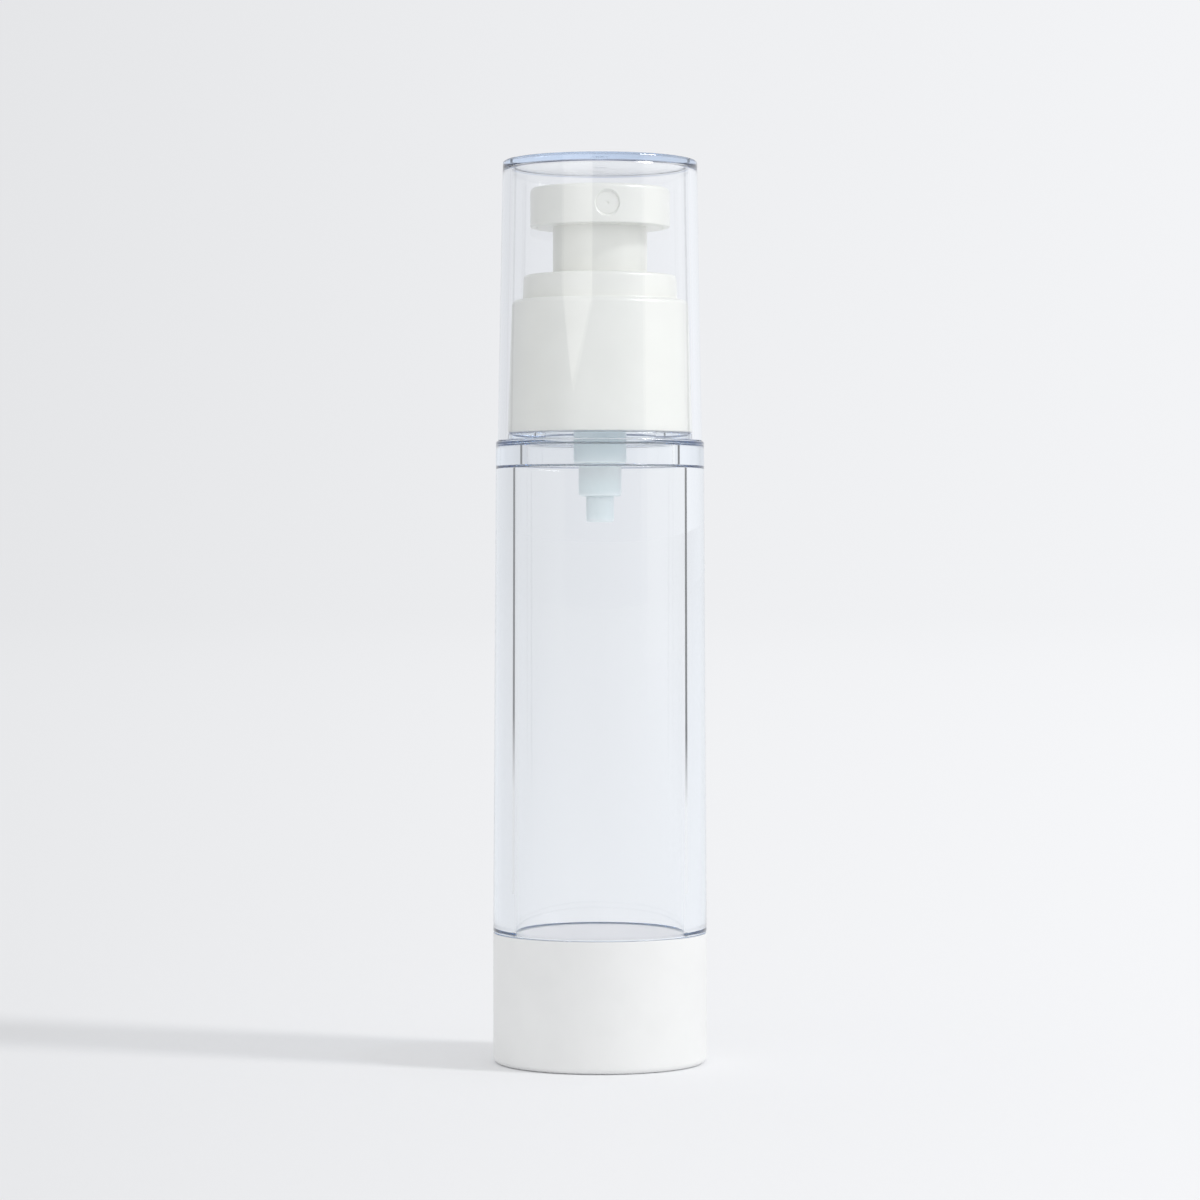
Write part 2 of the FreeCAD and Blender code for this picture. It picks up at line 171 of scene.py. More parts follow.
def piece(name, form, material, body, slot, *stands_for):
    """An object made from a form, with its material, riding on a body."""
    made = shown_as(name, form)
    made.data.shade_smooth()
    made.data.set_sharp_from_angle(angle=CRISP)
    made.data.materials.append(material)
    weighting = made.modifiers.new("flat faces stay flat", "WEIGHTED_NORMAL")
    weighting.keep_sharp = True
    weighting.weight = FLAT_WEIGHT
    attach(made, body)
    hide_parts(*stands_for)
    print(name, "faces", len(made.data.polygons))
    return made


print("edges stay crisp from", round(math.degrees(CRISP)), "degrees")

# %% [markdown]
# ## Moulded plastic
# The white parts are injection moulded. Up close the colour drifts a little and the skin has a very fine
# texture from the mould, which softens highlights. A photograph of plastic could be laid on, but it would
# need seams. Noise on Object coordinates has none, and it stays on the piece when the piece moves.

# %% Nodes for moulded plastic
DRIFT_SIZE = 6
DRIFT_ENDS = (0.35, 0.65)
DRIFT_DETAIL = 3
TEXTURE_DETAIL = 4
PLASTIC_IOR = 1.49


def noise(tree, size, detail, draw=1):
    """Noise on Object coordinates, with features of about size millimetres, draw times as tall as wide."""
    place = tree.nodes.new("ShaderNodeTexCoord")
    drawn = tree.nodes.new("ShaderNodeMapping")
    drawn.inputs["Scale"].default_value = (1, 1, 1 / draw)
    grain = tree.nodes.new("ShaderNodeTexNoise")
    grain.inputs["Scale"].default_value = 1 / (size * MM)
    grain.inputs["Detail"].default_value = detail
    tree.links.new(place.outputs["Object"], drawn.inputs["Vector"])
    tree.links.new(drawn.outputs["Vector"], grain.inputs["Vector"])
    return grain.outputs["Fac"]


def drift(tree, low, high):
    """Two near colours that drift into one another over the piece."""
    ramp = tree.nodes.new("ShaderNodeValToRGB")
    for element, place, colour in zip(ramp.color_ramp.elements, DRIFT_ENDS, (low, high)):
        element.position = place
        element.color = (*colour, 1)
    tree.links.new(noise(tree, DRIFT_SIZE, DRIFT_DETAIL), ramp.inputs["Fac"])
    return ramp.outputs["Color"]


def texture(tree, size, depth, draw=1):
    """A fine mould texture, depth millimetres deep."""
    bump = tree.nodes.new("ShaderNodeBump")
    bump.inputs["Strength"].default_value = 1
    bump.inputs["Distance"].default_value = depth * MM
    tree.links.new(noise(tree, size, TEXTURE_DETAIL, draw), bump.inputs["Height"])
    return bump.outputs["Normal"]


def moulded(name, low, high, roughness, grain, depth):
    """Opaque moulded plastic."""
    material = bpy.data.materials.new(name)
    material.use_nodes = True
    tree = material.node_tree
    shader = tree.nodes["Principled BSDF"]
    shader.inputs["Roughness"].default_value = roughness
    shader.inputs["IOR"].default_value = PLASTIC_IOR
    tree.links.new(drift(tree, low, high), shader.inputs["Base Color"])
    tree.links.new(texture(tree, grain, depth), shader.inputs["Normal"])
    return material


print("colour drifts over", DRIFT_SIZE, "mm")

# %% [markdown]
# ## White, pale and rubber finishes
# The collar and the button are polished, the base is satin, the follower is a soft pale plastic, and the
# seal is grey rubber. They could be four separate node trees, but they differ only in a few numbers: the
# two colours, the roughness, and the size and depth of the mould texture in millimetres.

# %% White, pale and rubber finishes
white_gloss = moulded(
    "white gloss plastic",
    low=(0.815, 0.815, 0.77),
    high=(0.835, 0.835, 0.79),
    roughness=0.28,
    grain=0.5,
    depth=0.001,
)
white_satin = moulded(
    "white satin plastic",
    low=(0.87, 0.875, 0.87),
    high=(0.89, 0.895, 0.89),
    roughness=0.45,
    grain=0.3,
    depth=0.002,
)
pale_soft = moulded(
    "pale soft plastic",
    low=(0.94, 0.925, 0.935),
    high=(0.955, 0.94, 0.95),
    roughness=0.5,
    grain=0.4,
    depth=0.002,
)
seal_rubber = moulded(
    "seal rubber",
    low=(0.62, 0.62, 0.62),
    high=(0.66, 0.66, 0.66),
    roughness=0.6,
    grain=0.4,
    depth=0.003,
)
print("moulded finishes", white_gloss.name, white_satin.name, pale_soft.name, seal_rubber.name)

# %% [markdown]
# ## Milky plastic and steel
# The pump's inner parts are natural plastic without any colour. It is milky: light goes in, wanders about
# and comes out beside where it went in, so edges look soft. Subsurface scattering does just that. The
# spring and the ball are plain steel with a faint grain.

# %% Finishes of the pump's inner parts
WANDER = 2.0


def milky(name, low, high, roughness):
    """Natural plastic that lets light wander in it."""
    material = moulded(name, low, high, roughness, grain=0.5, depth=0.002)
    shader = material.node_tree.nodes["Principled BSDF"]
    shader.inputs["Subsurface Weight"].default_value = 1
    shader.inputs["Subsurface Radius"].default_value = (1, 1, 1)
    shader.inputs["Subsurface Scale"].default_value = WANDER * MM
    return material


def metal(name, low, high, roughness):
    """Bare metal with a faint grain."""
    material = moulded(name, low, high, roughness, grain=0.2, depth=0.001)
    material.node_tree.nodes["Principled BSDF"].inputs["Metallic"].default_value = 1
    return material


natural_plastic = milky("natural plastic", low=(0.80, 0.90, 0.93), high=(0.82, 0.92, 0.95), roughness=0.4)
steel = metal("spring steel", low=(0.60, 0.60, 0.61), high=(0.66, 0.66, 0.67), roughness=0.28)
print("inner finishes", natural_plastic.name, steel.name)

# %% [markdown]
# ## Clear plastic
# The bottle and the cap are clear, faintly blue plastic. A thin blue skin would tint every view alike,
# but on the real bottle the blue gathers where you look along a wall. Absorption in the volume gives that.
# Lamps have to reach the white parts inside, so rays from lamps meet a plain see-through shader. A very
# shallow bump, drawn out along the height, stands for the faint streaks of the plastic's flow.

# %% Finishes for clear plastic
CLEAR_IOR = 1.55
FLOW_WIDTH = 4
FLOW_DEPTH = 0.002
FLOW_DRAW = 12
WHITE = (1.0, 1.0, 1.0)


def one_or_other(tree, share, first, second):
    """Two shaders mixed by a share from another node: 0 is the first, 1 the second."""
    mix = tree.nodes.new("ShaderNodeMixShader")
    tree.links.new(share, mix.inputs["Fac"])
    tree.links.new(first, mix.inputs[1])
    tree.links.new(second, mix.inputs[2])
    return mix.outputs["Shader"]


def clear(name, tint, density, lamp_share):
    """Clear plastic with a tint in its depth."""
    material = bpy.data.materials.new(name)
    material.use_nodes = True
    tree = material.node_tree
    glass = tree.nodes["Principled BSDF"]
    glass.inputs["Base Color"].default_value = (*WHITE, 1)
    glass.inputs["Transmission Weight"].default_value = 1
    glass.inputs["Roughness"].default_value = 0
    glass.inputs["IOR"].default_value = CLEAR_IOR
    tree.links.new(texture(tree, FLOW_WIDTH, FLOW_DEPTH, FLOW_DRAW), glass.inputs["Normal"])
    depth = tree.nodes.new("ShaderNodeVolumeAbsorption")
    depth.inputs["Color"].default_value = (*tint, 1)
    depth.inputs["Density"].default_value = density
    through = tree.nodes.new("ShaderNodeBsdfTransparent")
    through.inputs["Color"].default_value = (*lamp_share, 1)
    from_lamp = tree.nodes.new("ShaderNodeLightPath").outputs["Is Shadow Ray"]
    surface = one_or_other(tree, from_lamp, glass.outputs["BSDF"], through.outputs["BSDF"])
    output = tree.nodes["Material Output"]
    tree.links.new(surface, output.inputs["Surface"])
    tree.links.new(depth.outputs["Volume"], output.inputs["Volume"])
    return material


clear_bottle = clear("clear bottle plastic", tint=(0.1, 0.5, 0.9), density=9, lamp_share=(0.58, 0.59, 0.61))
clear_cap = clear("clear cap plastic", tint=(0.1, 0.45, 0.9), density=16, lamp_share=(0.98, 0.98, 0.99))
print("clear finishes", clear_bottle.name, clear_cap.name)

# %% [markdown]
# ## The overcap
# A deep clear cup, drawn in a little towards its closed top so that it leaves the mould. It could be a
# cylinder with a wall, but the taper and the rounded inner corner draw the lines that make it look clear,
# so it is spun. The small dimple in the middle of the top is where the plastic was let into the mould.

# %% Overcap
CAP_WALL = 1.35
CAP_TAPER = 0.8
CAP_TOP = 1.1
CAP_RIM_EDGE = 0.15
CAP_RIM_INSIDE = 0.12
CAP_TOP_EDGE = 0.5
CAP_CORNER = 0.6
GATE_RADIUS = 0.9
GATE_DEPTH = 0.15
GATE_EDGE = 0.3
cap_ceiling = cap_top - CAP_TOP
overcap_form = spun(
    [
        (cap_radius - CAP_WALL, shoulder, CAP_RIM_INSIDE),
        (cap_radius, shoulder, CAP_RIM_EDGE),
        (cap_radius - CAP_TAPER, cap_top, CAP_TOP_EDGE),
        (GATE_RADIUS, cap_top, GATE_EDGE),
        (0, cap_top - GATE_DEPTH, SHARP),
        (0, cap_ceiling, SHARP),
        (cap_radius - CAP_TAPER - CAP_WALL, cap_ceiling, CAP_CORNER),
    ]
)
piece("clear_overcap", overcap_form, clear_cap, "overcap", "clear_plastic", "overcap")

# %% [markdown]
# ## The screw thread
# The closure screws on the bottle's neck. The thread could be a second wire laid round the neck, but clear
# plastic would show the seam, so the neck's own wall is divided into rows that swell into the ridge. The
# ridge is highest in the middle and fades out at both ends.

# %% Swell a thread out of a round wall
THREAD_PITCH = 3.0
THREAD_TURNS = 1.25
THREAD_LAPS = 4
THREAD_HEIGHT = 0.85
THREAD_HALF_WIDTH = 0.8
THREAD_FADE = 0.05


def divide_wall(form, radius, rows):
    """Divides an upright round wall into rows."""
    wall = [
        edge
        for edge in form.edges
        if all(abs(vert.co.xy.length - radius * MM) < NEAR for vert in edge.verts)
        and abs(edge.verts[0].co.z - edge.verts[1].co.z) > MM
    ]
    bmesh.ops.subdivide_edges(form, edges=wall, cuts=rows, use_grid_fill=True)


def swell_thread(form, wall_radius, start_height):
    """Swells the rows of a round wall outwards into a screw thread."""
    for vert in form.verts:
        radius = vert.co.xy.length
        if abs(radius - wall_radius * MM) > NEAR:
            continue
        turn = math.atan2(vert.co.y, vert.co.x) / math.tau
        swell = 0
        for lap in range(THREAD_LAPS):
            along = turn + lap
            away = vert.co.z / MM - start_height - THREAD_PITCH * along
            if 0 <= along <= THREAD_TURNS and abs(away) < THREAD_HALF_WIDTH:
                fade = min(1, along / THREAD_FADE, (THREAD_TURNS - along) / THREAD_FADE)
                swell = fade * THREAD_HEIGHT * (1 + math.cos(math.pi * away / THREAD_HALF_WIDTH)) / 2
        vert.co.xy *= 1 + swell * MM / radius


print("thread", THREAD_TURNS, "turns, pitch", THREAD_PITCH, "mm")

# %% [markdown]
# ## The bottle
# A thick-walled tube with a solid shoulder, a low seat for the cap and a threaded neck. The foot is
# narrower, because it stands in the base. A tube and a neck could be joined, but every seam shows in clear
# plastic, so the whole bottle is one section. Its small roundings are drawn with care: each of them bends
# light into one of the fine lines around the shoulder and the foot.

# %% Bottle with its threaded neck
BOTTLE_WALL = 3.5
BOTTLE_TAPER = 0.45
BOTTLE_LOW_EDGE = 0.35
FOOT_RADIUS = 15.7
SHOULDER_THICKNESS = 4.0
RECESS_RADIUS = 11.65
RECESS_DEPTH = 3.5
RECESS_CORNER = 0.3
CEILING_CORNER = 0.35
SEAT_HEIGHT = 1.2
SEAT_FOOT = 0.25
SEAT_EDGE = 0.35
NECK_RADIUS = 10.45
NECK_BORE = 8.95
NECK_EDGE = 0.3
NECK_ROWS = 75
THREAD_RISE = 2.2
bore_radius = bottle_radius - BOTTLE_WALL
cap_seat = shoulder + SEAT_HEIGHT
ceiling = shoulder - SHOULDER_THICKNESS
bottle_form = spun(
    [
        (bore_radius, bottle_foot, SOFT),
        (FOOT_RADIUS, bottle_foot, SOFT),
        (FOOT_RADIUS, base_rim, FINE),
        (bottle_radius, base_rim, BOTTLE_LOW_EDGE),
        (bottle_radius - BOTTLE_TAPER, shoulder, SOFT),
        (sleeve_radius, shoulder, SEAT_FOOT),
        (sleeve_radius, cap_seat, SEAT_EDGE),
        (NECK_RADIUS, cap_seat, SOFT),
        (NECK_RADIUS, neck_top, NECK_EDGE),
        (NECK_BORE, neck_top, SOFT),
        (NECK_BORE, ceiling + RECESS_DEPTH, SOFT),
        (RECESS_RADIUS, ceiling + RECESS_DEPTH, RECESS_CORNER),
        (RECESS_RADIUS, ceiling, SOFT),
        (bore_radius, ceiling, CEILING_CORNER),
    ]
)
divide_wall(bottle_form, NECK_RADIUS, NECK_ROWS)
swell_thread(bottle_form, NECK_RADIUS, cap_seat + THREAD_RISE)
piece("clear_bottle", bottle_form, clear_bottle, "container", "clear_plastic", "bottle")

# %% [markdown]
# ## Cutting one form with another
# A spun form is the same all round, so a slot or a hole has to be cut into it afterwards. It could be knifed
# into the wall by hand, but a Boolean modifier gives a clean edge where two shapes meet. The cutter is a
# form like any other, and both stand-ins are removed again once the result is taken.

# %% Take a cutter out of a form
CUT_SOLVER = "EXACT"


def carved(form, cutter_form):
    """A form with the shape of a cutter taken out of it."""
    block = shown_as("block", form)
    cutter = shown_as("cutter", cutter_form)
    carving = block.modifiers.new("carving", "BOOLEAN")
    carving.operation = "DIFFERENCE"
    carving.solver = CUT_SOLVER
    carving.object = cutter
    result = bmesh.new()
    result.from_object(block, bpy.context.evaluated_depsgraph_get())
    for spent in (block, cutter):
        bpy.data.meshes.remove(spent.data)
    return result


print("cuts use the", CUT_SOLVER.lower(), "solver")

# %% [markdown]
# ## The base cup
# A white satin cup that the bottle's foot is pressed into. It stands on a flat ring, and a ring inside
# stops the piston. A solid block would look the same from outside, but a cup has a vent in its floor, which
# lets air in under the piston, so it is spun with its true inside. Two bars, laid crosswise over the ring,
# then cut the four slots that let the air pass.

# %% Base cup
BASE_WALL = 1.25
BASE_FLOOR = 1.4
BASE_FOOT_EDGE = 1.0
BASE_RIM_EDGE = 0.15
FOOT_RECESS = 0.8
FOOT_RING = 3.0
VENT_RADIUS = 0.9
VENT_EDGE = 0.15
STOP_RADIUS = 12.9
STOP_WALL = 1.3
AIR_SLOT_WIDTH = 3.0
AIR_SLOT_DEPTH = 1.5
BAR_OVERRUN = 0.3
base_floor = FOOT_RECESS + BASE_FLOOR
base_form = spun(
    [
        (VENT_RADIUS, FOOT_RECESS, VENT_EDGE),
        (base_radius - FOOT_RING, FOOT_RECESS, SOFT),
        (base_radius - FOOT_RING, ground, SOFT),
        (base_radius, ground, BASE_FOOT_EDGE),
        (base_radius, base_rim, BASE_RIM_EDGE),
        (base_radius - BASE_WALL, base_rim, FINE),
        (base_radius - BASE_WALL, base_floor, SOFT),
        (STOP_RADIUS, base_floor, SOFT),
        (STOP_RADIUS, follower_low, FINE),
        (STOP_RADIUS - STOP_WALL, follower_low, FINE),
        (STOP_RADIUS - STOP_WALL, base_floor, SOFT),
        (VENT_RADIUS, base_floor, VENT_EDGE),
    ]
)
bar_length = 2 * (STOP_RADIUS + BAR_OVERRUN)
bar_height = AIR_SLOT_DEPTH + BAR_OVERRUN
bar_middle = follower_low - AIR_SLOT_DEPTH + bar_height / 2
for length, width in ((bar_length, AIR_SLOT_WIDTH), (AIR_SLOT_WIDTH, bar_length)):
    bar_form = bmesh.new()
    bmesh.ops.create_cube(bar_form, size=MM)
    bmesh.ops.scale(bar_form, verts=bar_form.verts, vec=(length, width, bar_height))
    bmesh.ops.translate(bar_form, verts=bar_form.verts, vec=(0, 0, bar_middle * MM))
    base_form = carved(base_form, bar_form)
piece("white_base", base_form, white_satin, "container", "white_satin", "base_cup")

# %% [markdown]
# ## The follower piston
# A pale soft cup upside down, the floor of the lotion. Its two lips wipe the bore, and its waist stands
# clear of it. A plain disc would do for the view from above, but the lips show through the clear wall when
# the piston has risen, so they are part of the section.

# %% Follower piston
LIP_HEIGHT = 1.2
LIP_SLOPE = 1.0
FOLLOWER_ROOM = 0.55
FOLLOWER_WALL = 1.3
FOLLOWER_DISC = 1.5
FOLLOWER_EDGE = 0.25
FOLLOWER_CORNER = 0.4
waist = follower_radius - FOLLOWER_ROOM
follower_form = spun(
    [
        (0, follower_top, SHARP),
        (follower_radius, follower_top, FOLLOWER_EDGE),
        (follower_radius, follower_top - LIP_HEIGHT, FINE),
        (waist, follower_top - LIP_HEIGHT - LIP_SLOPE, FINE),
        (waist, follower_low + LIP_HEIGHT + LIP_SLOPE, FINE),
        (follower_radius, follower_low + LIP_HEIGHT, FINE),
        (follower_radius, follower_low, FINE),
        (waist - FOLLOWER_WALL, follower_low, FINE),
        (waist - FOLLOWER_WALL, follower_top - FOLLOWER_DISC, FOLLOWER_CORNER),
        (0, follower_top - FOLLOWER_DISC, SHARP),
    ]
)
piece("follower", follower_form, pale_soft, "follower", "soft_plastic", "follower_piston")

# %% [markdown]
# ## The white collar
# The collar hides the closure that screws on the neck. It tapers up to a ledge, carries a lower step, and
# the hole in its top guides the button's sleeve. Its walls are thin and of one thickness, as moulded walls
# are, so the section follows the outside on the inside too.

# %% Shoulder sleeve
SLEEVE_TAPER = 0.7
SLEEVE_WALL = 1.2
SLEEVE_RIM = 0.15
LEDGE_WIDTH = 1.7
LEDGE_EDGE = 0.9
STEP_HEIGHT = 4.0
STEP_TAPER = 0.15
STEP_FOOT = 0.15
STEP_EDGE = 0.6
GUIDE_RADIUS = 7.6
GUIDE_WALL = 1.0
GUIDE_DEPTH = 3.0
GUIDE_MOUTH = 0.25
ledge_radius = sleeve_radius - SLEEVE_TAPER
ledge = sleeve_top - STEP_HEIGHT
step_radius = ledge_radius - LEDGE_WIDTH
sleeve_form = spun(
    [
        (ledge_radius - SLEEVE_WALL, sleeve_low, SLEEVE_RIM),
        (sleeve_radius, sleeve_low, SLEEVE_RIM),
        (ledge_radius, ledge, LEDGE_EDGE),
        (step_radius, ledge, STEP_FOOT),
        (step_radius - STEP_TAPER, sleeve_top, STEP_EDGE),
        (GUIDE_RADIUS, sleeve_top, GUIDE_MOUTH),
        (GUIDE_RADIUS, sleeve_top - GUIDE_DEPTH, FINE),
        (GUIDE_RADIUS + GUIDE_WALL, sleeve_top - GUIDE_DEPTH, FINE),
        (GUIDE_RADIUS + GUIDE_WALL, sleeve_top - SLEEVE_WALL, SOFT),
        (step_radius - SLEEVE_WALL, sleeve_top - SLEEVE_WALL, SOFT),
        (step_radius - SLEEVE_WALL, ledge - SLEEVE_WALL, SOFT),
        (ledge_radius - SLEEVE_WALL, ledge - SLEEVE_WALL, SOFT),
    ]
)
piece("white_collar", sleeve_form, white_gloss, "closure", "white_gloss", "shoulder_sleeve")

# %% [markdown]
# ## A hole across the axis
# The hole for the nozzle runs from front to back, so it cannot be spun with the button. It could be drilled
# with a plain cylinder, but the hole has a flare. So its cutter, and the nozzle too, are spun upright like
# any other form and then turned to face the front. The wire of the spring is turned in the same way.

# %% Turn a form to the front
NOZZLE_RISE = 3.1
nozzle_height = button_low + NOZZLE_RISE


def face_forward(form, height):
    """Turns a form so that its axis points at the front, and lifts it to a height."""
    forward = Matrix.Rotation(math.pi / 2, 3, "X")
    bmesh.ops.rotate(form, verts=form.verts, cent=(0, 0, 0), matrix=forward)
    bmesh.ops.translate(form, verts=form.verts, vec=(0, 0, height * MM))


print("nozzle axis at", round(nozzle_height, 3), "mm")

# %% [markdown]
# ## The button
# The button is a shell over the pump's head. Its rounded edge is friendly to the finger. The hole in front
# opens with a flare, which the cutter carries, so that the nozzle can sit a little back from the wall.

# %% Button shell
BUTTON_WALL = 1.1
BUTTON_TOP = 0.9
BUTTON_RIM = 0.25
BUTTON_RIM_INSIDE = 0.15
BUTTON_EDGE = 0.7
BUTTON_CORNER = 0.3
NOZZLE_RADIUS = 1.7
NOZZLE_ROOM = 0.05
NOZZLE_RECESS = 0.35
NOZZLE_FLARE = 0.42
nozzle_face = button_radius - NOZZLE_RECESS
nozzle_hole = NOZZLE_RADIUS + NOZZLE_ROOM
button_form = spun(
    [
        (button_radius - BUTTON_WALL, button_low, BUTTON_RIM_INSIDE),
        (button_radius, button_low, BUTTON_RIM),
        (button_radius, button_top, BUTTON_EDGE),
        (0, button_top, SHARP),
        (0, button_top - BUTTON_TOP, SHARP),
        (button_radius - BUTTON_WALL, button_top - BUTTON_TOP, BUTTON_CORNER),
    ]
)
window_form = spun(
    [
        (0, button_radius / 2, SHARP),
        (nozzle_hole, button_radius / 2, SHARP),
        (nozzle_hole, nozzle_face, SHARP),
        (nozzle_hole + 2 * NOZZLE_FLARE, nozzle_face + 2 * NOZZLE_RECESS, SHARP),
        (0, nozzle_face + 2 * NOZZLE_RECESS, SHARP),
    ]
)
face_forward(window_form, nozzle_height)
button_form = carved(button_form, window_form)
piece("push_button", button_form, white_gloss, "head", "white_gloss", "button_shell")

# %% [markdown]
# ## The nozzle
# A small disc pressed into the hole from the front, with a fine orifice in its face and a hollow behind it.
# It could be drawn on the button with a bump, but the thin shadow line around it comes from a real gap.

# %% Nozzle
NOZZLE_GAP = 0.01
NOZZLE_LENGTH = 3.4
NOZZLE_FACE = 0.75
NOZZLE_EDGE = 0.04
SWIRL_RADIUS = 1.0
ORIFICE_RADIUS = 0.18
ORIFICE_DEPTH = 0.12
ORIFICE_EDGE = 0.05
nozzle_form = spun(
    [
        (0, nozzle_face - ORIFICE_DEPTH, SHARP),
        (ORIFICE_RADIUS, nozzle_face - ORIFICE_DEPTH, SHARP),
        (ORIFICE_RADIUS, nozzle_face, ORIFICE_EDGE),
        (nozzle_hole - NOZZLE_GAP, nozzle_face, NOZZLE_EDGE),
        (nozzle_hole - NOZZLE_GAP, nozzle_face - NOZZLE_LENGTH, FINE),
        (SWIRL_RADIUS, nozzle_face - NOZZLE_LENGTH, FINE),
        (SWIRL_RADIUS, nozzle_face - NOZZLE_FACE, SHARP),
        (0, nozzle_face - NOZZLE_FACE, SHARP),
    ]
)
face_forward(nozzle_form, nozzle_height)
piece("nozzle", nozzle_form, white_gloss, "head", "white_gloss", "nozzle_insert")

# %% [markdown]
# ## The pump housing
# The milky cylinder that hangs below the shoulder. Its lower tube draws the lotion in, its wide flange is
# clamped on the neck, and a plug ring under the flange centres it in the neck. Light wanders in its wall,
# so the wall has to be real: a solid rod would look denser than the tube does.

# %% Pump housing
HOUSING_BARREL = 3.4
HOUSING_COLLAR = 4.2
HOUSING_BORE = 2.55
HOUSING_STEP = 0.5
HOUSING_FLANGE = 1.0
BARREL_EDGE = 0.5
PLUG_WALL = 0.9
PLUG_DEPTH = 3.0
PLUG_ROOM = 0.1
LID_SOCKET = 3.35
LID_DEPTH = 5.2
INLET_RADIUS = 2.2
INLET_BORE = 1.1
INLET_LENGTH = 4.1
INLET_EDGE = 0.3
INLET_ROOT = 0.15
CAGE_RADIUS = 1.75
CAGE_FLOOR = 0.55
flange_radius, inlet_low, flange_top = reach("pump_housing")
spring_seat = reach("ball_retainer")[2]
housing_floor = inlet_low + INLET_LENGTH
housing_step = ceiling + HOUSING_STEP
flange_low = flange_top - HOUSING_FLANGE
plug_radius = NECK_BORE - PLUG_ROOM
housing_form = spun(
    [
        (INLET_BORE, inlet_low, FINE),
        (INLET_RADIUS, inlet_low, INLET_EDGE),
        (INLET_RADIUS, housing_floor, INLET_ROOT),
        (HOUSING_BARREL, housing_floor, BARREL_EDGE),
        (HOUSING_BARREL, housing_step, FINE),
        (HOUSING_COLLAR, housing_step, SOFT),
        (HOUSING_COLLAR, flange_low, SHARP),
        (plug_radius - PLUG_WALL, flange_low, SHARP),
        (plug_radius - PLUG_WALL, flange_low - PLUG_DEPTH, FINE),
        (plug_radius, flange_low - PLUG_DEPTH, FINE),
        (plug_radius, flange_low, SHARP),
        (flange_radius, flange_low, SHARP),
        (flange_radius, flange_top, FINE),
        (LID_SOCKET, flange_top, FINE),
        (LID_SOCKET, flange_top - LID_DEPTH, SHARP),
        (HOUSING_BORE, flange_top - LID_DEPTH, SHARP),
        (HOUSING_BORE, spring_seat, SHARP),
        (CAGE_RADIUS, spring_seat, SHARP),
        (CAGE_RADIUS, housing_floor + CAGE_FLOOR, SHARP),
        (INLET_BORE, housing_floor - CAGE_FLOOR, SHARP),
    ]
)
piece("milky_housing", housing_form, natural_plastic, "pump_core", "natural_plastic", "pump_housing")

# %% [markdown]
# ## The return spring
# Steel wire wound into a coil. A ring as wide as the wire is spun along a rising path, which lays the wire
# down turn by turn. When the button is pressed the coil gets shorter.

# %% Return spring
COIL_RADIUS = 1.9
COIL_TURNS = 5.5
COIL_STEPS = 40
WIRE_RADIUS = 0.22
WIRE_SIDES = 14
spring_low, spring_high = (corner.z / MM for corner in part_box("return_spring"))
spring_length = spring_high - spring_low
coil_rise = spring_length - 2 * WIRE_RADIUS
coil_steps = int(COIL_TURNS * COIL_STEPS)
spring_form = bmesh.new()
bmesh.ops.create_circle(spring_form, cap_ends=True, radius=WIRE_RADIUS * MM, segments=WIRE_SIDES)
face_forward(spring_form, spring_low + WIRE_RADIUS)
bmesh.ops.translate(spring_form, verts=spring_form.verts, vec=(COIL_RADIUS * MM, 0, 0))
bmesh.ops.spin(
    spring_form,
    geom=spring_form.verts[:] + spring_form.edges[:] + spring_form.faces[:],
    cent=(0, 0, 0),
    axis=(0, 0, 1),
    dvec=(0, 0, coil_rise * MM / coil_steps),
    angle=COIL_TURNS * math.tau,
    steps=coil_steps,
)
bmesh.ops.recalc_face_normals(spring_form, faces=spring_form.faces)
spring = piece("coil_spring", spring_form, steel, "pump_core", "steel", "return_spring")
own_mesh(spring)

# %% [markdown]
# ## Parts that stay as they are
# The other inner parts are hidden in the finished pump. They could be modelled again, but nobody would see
# the difference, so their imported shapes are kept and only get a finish.

# %% Finishes of the kept parts
KEPT_PARTS = {
    "actuator_core": white_gloss,
    "threaded_closure": white_satin,
    "housing_cap": natural_plastic,
    "stem": natural_plastic,
    "piston_rod": natural_plastic,
    "ball_retainer": natural_plastic,
    "pump_piston": pale_soft,
    "neck_gasket": seal_rubber,
    "inlet_ball": steel,
}
for node, finish in KEPT_PARTS.items():
    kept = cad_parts[node]
    kept.data.materials.clear()
    kept.data.materials.append(finish)
print("kept parts", len(KEPT_PARTS))

# %% [markdown]
# ## The camera
# The photograph looks almost level at the bottle from about two thirds of a metre, a little to the left of
# the nozzle, with the horizon just above the middle of the picture. Its place follows from a few measures
# in the picture, in pixels. It is set up before the room, because the room is laid out around the line from
# the camera to the bottle.

# %% Camera
IMAGE = 1200
FOCAL = 3900
PIXELS_PER_MM = 6.279
HORIZON = 560
GROUND_ROW = 1062
CAMERA_TURN = math.radians(6)
SENSOR = 36
FAR = 120
camera_data = bpy.data.cameras.new("camera")
camera_data.sensor_width = SENSOR
camera_data.lens = SENSOR * FOCAL / IMAGE
camera_data.clip_end = FAR
camera = bpy.data.objects.new("camera", camera_data)
distance = FOCAL / PIXELS_PER_MM * MM
camera_height = (GROUND_ROW - HORIZON) / PIXELS_PER_MM * MM
camera.location = (-distance * math.sin(CAMERA_TURN), -distance * math.cos(CAMERA_TURN), camera_height)
tilt = math.atan((IMAGE / 2 - HORIZON) / FOCAL)
camera.rotation_euler = (math.pi / 2 - tilt, 0, -CAMERA_TURN)
bpy.context.scene.collection.objects.link(camera)
bpy.context.scene.camera = camera
bpy.context.scene.view_settings.view_transform = "Standard"
print("camera at", [round(place, 3) for place in camera.location], "lens", camera_data.lens)

